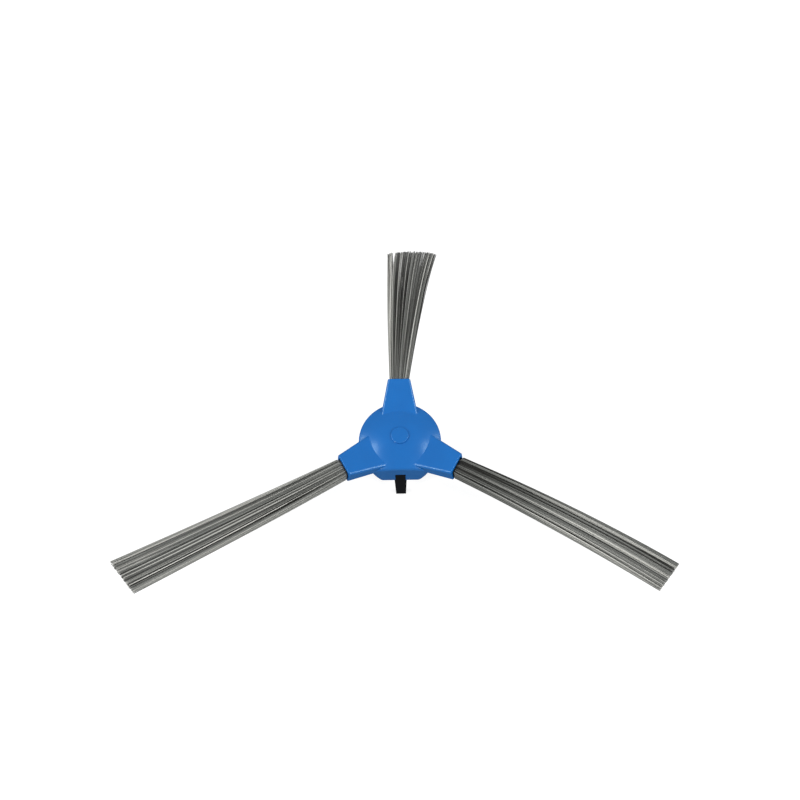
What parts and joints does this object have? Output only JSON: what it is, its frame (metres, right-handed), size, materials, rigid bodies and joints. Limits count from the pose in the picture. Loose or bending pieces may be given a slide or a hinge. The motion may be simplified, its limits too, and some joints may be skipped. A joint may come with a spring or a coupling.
{
  "type": "robot vacuum side brush",
  "caption": "Rotary side brush: a blue domed hub with tapered arms that each end in a flared tuft of grey nylon bristle, on a black drive coupling with a bore and a front leg.",
  "frame": {"origin": "centre of the drive bore's mouth, in the plane of the hub's seat", "axes": "+Z along the brush's axis towards the dome, +Y along the rear arm"},
  "size_m": [0.1212, 0.0989, 0.028],
  "materials": {
    "hub_plastic": "semi-gloss moulded",
    "coupling_plastic": "matte moulded",
    "bristle_nylon": "satin filament"
  },
  "bodies": {
    "root": {"hub_body": "hub_plastic", "drive_coupling": "coupling_plastic", "bristle_tuft_rear": "bristle_nylon", "bristle_tuft_left": "bristle_nylon", "bristle_tuft_right": "bristle_nylon"}
  },
  "joints": []
}
